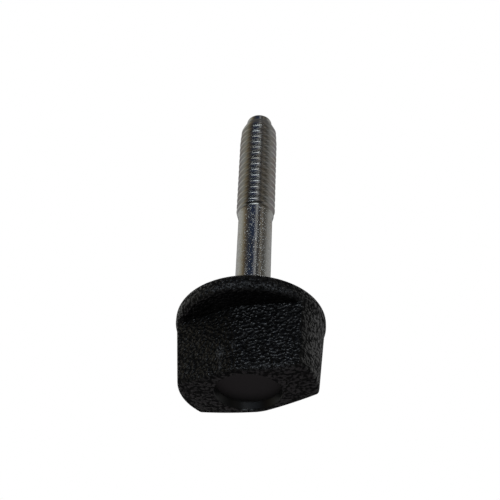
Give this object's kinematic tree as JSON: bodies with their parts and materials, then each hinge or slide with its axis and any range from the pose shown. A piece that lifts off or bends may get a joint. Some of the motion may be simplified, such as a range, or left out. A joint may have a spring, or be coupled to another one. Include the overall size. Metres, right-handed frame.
{
  "type": "air cleaner knob",
  "caption": "Black moulded knob with offset wings under a round flange, and a long steel stud, threaded and dog-pointed at its far end, that clamps an air cleaner cover.",
  "frame": {"origin": "on the stud's axis, at the level that the grip's end stands on", "axes": "+Z along the stud towards its tip, +X towards the wing whose end faces right"},
  "size_m": [0.0224, 0.0224, 0.0544],
  "materials": {
    "grip_plastic": "black moulded plastic with a fine leather grain",
    "stud_steel": "bright plated steel with fine scratches"
  },
  "bodies": {
    "root": {"grip": "grip_plastic", "stud": "stud_steel"}
  },
  "joints": []
}
